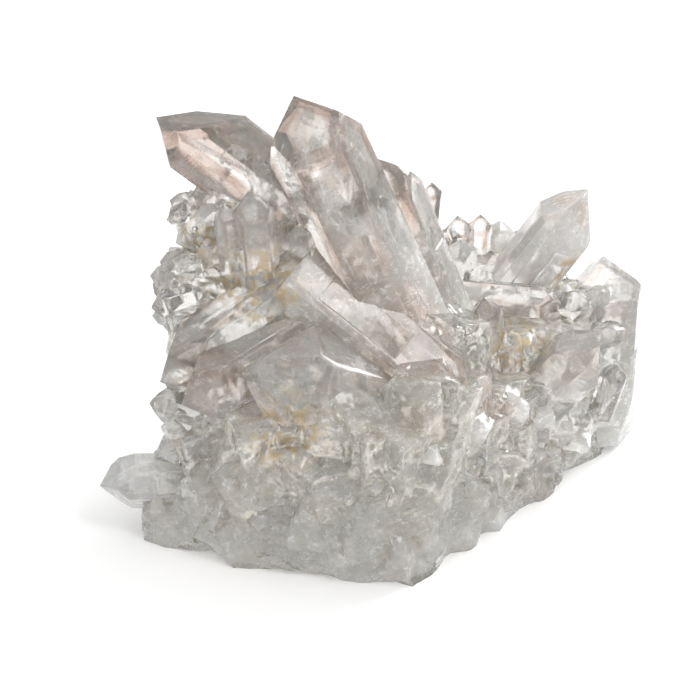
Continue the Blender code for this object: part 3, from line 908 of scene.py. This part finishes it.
def quartzMaterial():
    material, s = newMaterial("quartz")
    patterns = look["patterns"]
    place, grain, traits = s.place(), s.uv("grain"), s.uv("trait")
    rim = s.axis(s.uv("rim"), "X")
    along = s.axis(grain, "Y")
    kind = s.axis(traits, "X")
    own = s.axis(traits, "Y")  # cloudiness, or tint of a lump
    point = kind.ramp(*look["pointEdge"])  # 0 on broken quartz, 1 on crystals
    rock = 1 - point
    clouds, wisps, fine, frost, patches, spots = [
        s.noise(place, *patterns[name]) for name in ("clouds", "wisps", "fine", "frost", "patches", "spots")
    ]
    flats, chance = s.facets(s.stretched(place, look["flatShape"], look["flatTurn"]), look["flatScale"])
    # white fractures: fine frost, and streaks that run two ways in patches of their own
    least, varies = look["frost"]
    flakes = frost.ramp(*look["frostEdge"]) * (least + chance * varies)
    for turn, edge in look["streakWays"]:
        streaks = s.noise(s.stretched(place, look["streakShape"], turn), *patterns["streaks"])
        flakes += streaks.ramp(*look["streakEdge"]) * patches.ramp(*edge) * look["streaks"]
    flakes = flakes.clamped()
    needles = s.noise(s.stretched(grain, look["needleShape"]), *patterns["needles"])
    needles = needles.ramp(*look["needleEdge"]) * clouds.ramp(*look["needlePatches"])
    # how milky: the broken quartz more than the crystals, which are clear towards their tips
    rootMilk = (along + clouds * look["wander"]).ramp(
        look["clearTo"] + look["wander"] / 2, look["milkyFrom"] + look["wander"] / 2,
    )
    rockMilk = wisps * look["rockWisps"] + clouds * look["rockClouds"] + own * look["rockOwn"]
    rockMilk = rockMilk.ramp(*look["rockEdge"], *look["rock"])
    pointMilk = own * look["ownMilk"] + rootMilk * look["rootMilk"]
    pointMilk += (wisps * clouds).ramp(*look["wispEdge"]) * look["wispMilk"]
    pointMilk += needles * look["needleMilk"]
    pointFlakes = rootMilk * look["rootFlakes"] + own * look["ownFlakes"]
    milkiness = rockMilk * rock + point * pointMilk
    milkiness += flakes * (look["rockFlakes"] * rock + pointFlakes * point)
    # iron stains in the hollows near a few places, and brown crystals near others
    stain = s.nearest(place, look["stainSpots"], look["stainCore"]) * spots.ramp(*look["stainEdge"])
    tan = s.nearest(place, look["tanSpots"], look["tanCore"])
    tan = tan * wisps.ramp(*look["tanEdge"], *look["tanLevels"])
    # painted shade: a smoky brown along the face edges of the upper crystals, partly their own smoky tint and
    # partly the dark edges that light bent through the quartz gives
    smokeAndEdgeShade = (rim ** look["smokeAndShadeCurve"]) * patches.ramp(*look["smokeAndShadeEdge"], *look["smokeAndShadeLevels"]) * point
    smokeAndEdgeShade = smokeAndEdgeShade * s.axis(place, "Z").ramp(*look["smokeAndShadeHeight"])
    tipWhite = kind.ramp(*look["tipKind"]) * own.ramp(*look["tipOwn"]) * look["tipWhite"]
    white = (flakes + needles * look["needleWhite"] * point).clamped()
    milkColour = s.colour(clouds.ramp(*look["warmEdge"]), look["cool"], look["warm"])
    milkColour = s.colour(point * look["brightness"], milkColour, look["bright"])
    milkColour = s.colour(tipWhite, milkColour, look["white"])
    milkColour = s.colour(tan, milkColour, look["tan"])
    milkColour = s.colour(white, milkColour, look["white"])
    milkColour = s.colour(stain * look["stainOnMilk"], milkColour, look["stain"])
    clearColour = s.colour((smokeAndEdgeShade + tan * look["tanInClear"]).clamped(), look["clear"], look["smokeAndEdgeShade"])
    clearColour = s.colour(stain * look["stainInClear"], clearColour, look["stain"])
    # the flat sides carry fine lines across the length, the breaks a rough grain
    lines = s.noise(s.stretched(grain, look["lineShape"]), *patterns["lines"])
    relief = lines * look["lines"] * point + flats * look["flats"] * rock
    bump = s.node("ShaderNodeBump", None, {
        "Strength": look["bump"], "Distance": look["bumpHeight"] * mm, "Height": relief,
    })
    shine = fine.ramp(*look["shineEdge"], *look["clearShine"])
    shine = shine + rock * look["rockShine"] + rootMilk * look["rootShine"]
    glass = s.node("ShaderNodeBsdfPrincipled", None, {
        "Base Color": clearColour, "Roughness": shine, "IOR": look["index"], "Transmission Weight": 1,
        "Normal": bump,
    })
    cloudy = s.node("ShaderNodeBsdfPrincipled", None, {
        "Base Color": milkColour, "Roughness": fine.ramp(*look["shineEdge"], *look["milkyShine"]),
        "IOR": look["index"], "Subsurface Weight": 1, "Subsurface Radius": look["scatter"],
        "Subsurface Scale": look["scatterSize"] * mm, "Normal": bump,
    })
    milky = (milkiness + stain * look["stainMilk"]).clamped()
    mixed = s.node("ShaderNodeMixShader", None, {0: milky, 1: glass, 2: cloudy})
    tint = s.node("ShaderNodeVolumeAbsorption", None, {
        "Color": (*look["tint"], 1), "Density": look["tintDensity"],
    })
    s.node("ShaderNodeOutputMaterial", None, {"Surface": mixed, "Volume": tint})
    return material


veilLook = dict(
    wisps=(0.5, 5, 0.65, 0.6), wispEdge=(0.45, 0.62),
    flatShape=(1, 1, 0.6), flatScale=0.5, flatEdge=(0.3, 0.5), most=0.75, least=0.03,
    solidEdge=(0.3, 0.55), solidLevels=(0.5, 1), colour=(0.93, 0.93, 0.92), roughness=0.35,
)


def veilMaterial():
    material, s = newMaterial("veil")
    place = s.place()
    _, chance = s.facets(s.stretched(place, veilLook["flatShape"]), veilLook["flatScale"])
    wisps = s.noise(place, *veilLook["wisps"])
    alpha = wisps.ramp(*veilLook["wispEdge"]) * veilLook["most"] * chance.ramp(*veilLook["flatEdge"])
    solid = s.axis(s.uv("solid"), "X") * wisps.ramp(*veilLook["solidEdge"], *veilLook["solidLevels"])
    paint = s.node("ShaderNodeBsdfPrincipled", None, {
        "Base Color": (*veilLook["colour"], 1), "Roughness": veilLook["roughness"],
        "Alpha": (alpha + veilLook["least"] + solid).clamped(),
    })
    s.node("ShaderNodeOutputMaterial", None, {"Surface": paint})
    return material


fractureVeils.data.materials.append(veilMaterial())
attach(fractureVeils, "root")
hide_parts("quartz_cluster")
crystalCluster.data.materials.append(quartzMaterial())
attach(crystalCluster, "root")
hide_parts("quartz_cluster")
report("quartz material")


# Camera in millimetres, lamps and floor in metres. The sky is pairs of height, from straight down to
# straight up, and brightness.
studio = dict(
    aim=(-6.159, -11.843, 41), distance=650, elevation=25, lens=151.95, sensor=36,
    floorSize=4, floorColour=(0.9, 0.9, 0.9), floorRoughness=0.9, floorGlow=0.15,
    sky=((0, 0.6), (0.5, 0.52), (0.62, 0.58), (0.8, 0.85), (1, 1.1)),
)
lamps = dict(
    keyLight=dict(place=(0.5, -0.5, 0.9), aim=(0, 0, 0.04), size=(0.35, 0.35), power=2.5),
    backLight=dict(place=(0.55, 0.5, 0.55), aim=(0.02, 0.02, 0.04), size=(0.5, 0.4), power=6),
)


def studioFloor():
    mesh = bmesh.new()
    bmesh.ops.create_grid(mesh, x_segments=1, y_segments=1, size=studio["floorSize"])
    data = bpy.data.meshes.new("floor")
    mesh.to_mesh(data)
    mesh.free()
    floor = bpy.data.objects.new("floor", data)
    bpy.context.scene.collection.objects.link(floor)
    material, s = newMaterial("floor")
    paint = s.node("ShaderNodeBsdfPrincipled", None, {
        "Base Color": (*studio["floorColour"], 1), "Roughness": studio["floorRoughness"],
        "Emission Color": (1, 1, 1, 1), "Emission Strength": studio["floorGlow"],
    })
    s.node("ShaderNodeOutputMaterial", None, {"Surface": paint})
    data.materials.append(material)


def studioWorld():  # a soft sky for the quartz, plain white for the camera
    world = bpy.data.worlds.new("studio")
    world.use_nodes = True
    s = Shader(world.node_tree)
    height = s.axis(s.node("ShaderNodeTexCoord", None, None, "Generated"), "Z")
    lifted = s.node("ShaderNodeMapRange", None, {"Value": height, "From Min": -1})
    sky = s.node("ShaderNodeValToRGB", None, {0: lifted})
    stops = sky.socket.node.color_ramp.elements
    while len(stops) < len(studio["sky"]):
        stops.new(0.5)
    for stop, (at, level) in zip(stops, studio["sky"]):
        stop.position = at
        stop.color = (level, level, level, 1)
    surroundings = s.node("ShaderNodeBackground", None, {"Color": sky, "Strength": 1})
    backdrop = s.node("ShaderNodeBackground", None, {"Color": (1, 1, 1, 1)})
    toCamera = s.node("ShaderNodeLightPath", None, None, "Is Camera Ray")
    seen = s.node("ShaderNodeMixShader", None, {0: toCamera, 1: surroundings, 2: backdrop})
    s.node("ShaderNodeOutputWorld", None, {"Surface": seen})
    bpy.context.scene.world = world


def softLight(name, place, aim, size, power):
    lamp = bpy.data.lights.new(name, "AREA")
    lamp.shape = "RECTANGLE"
    lamp.size, lamp.size_y = size
    lamp.energy = power
    made = bpy.data.objects.new(name, lamp)
    made.location = Vector(place)
    made.rotation_euler = (Vector(aim) - Vector(place)).to_track_quat("-Z", "Y").to_euler()
    bpy.context.scene.collection.objects.link(made)


def studioCamera():
    tilt = math.radians(studio["elevation"])
    data = bpy.data.cameras.new("camera")
    data.lens = studio["lens"]
    data.sensor_width = studio["sensor"]
    camera = bpy.data.objects.new("camera", data)
    away = Vector((0, -math.cos(tilt), math.sin(tilt))) * studio["distance"]
    camera.location = (Vector(studio["aim"]) + away) * mm
    camera.rotation_euler = (math.pi / 2 - tilt, 0, 0)
    bpy.context.scene.collection.objects.link(camera)
    bpy.context.scene.camera = camera


studioFloor()
studioWorld()
for name, lamp in lamps.items():
    softLight(name, **lamp)
studioCamera()
bpy.context.scene.view_settings.view_transform = "Standard"
report("floor, light and camera")

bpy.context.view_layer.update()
report("done")
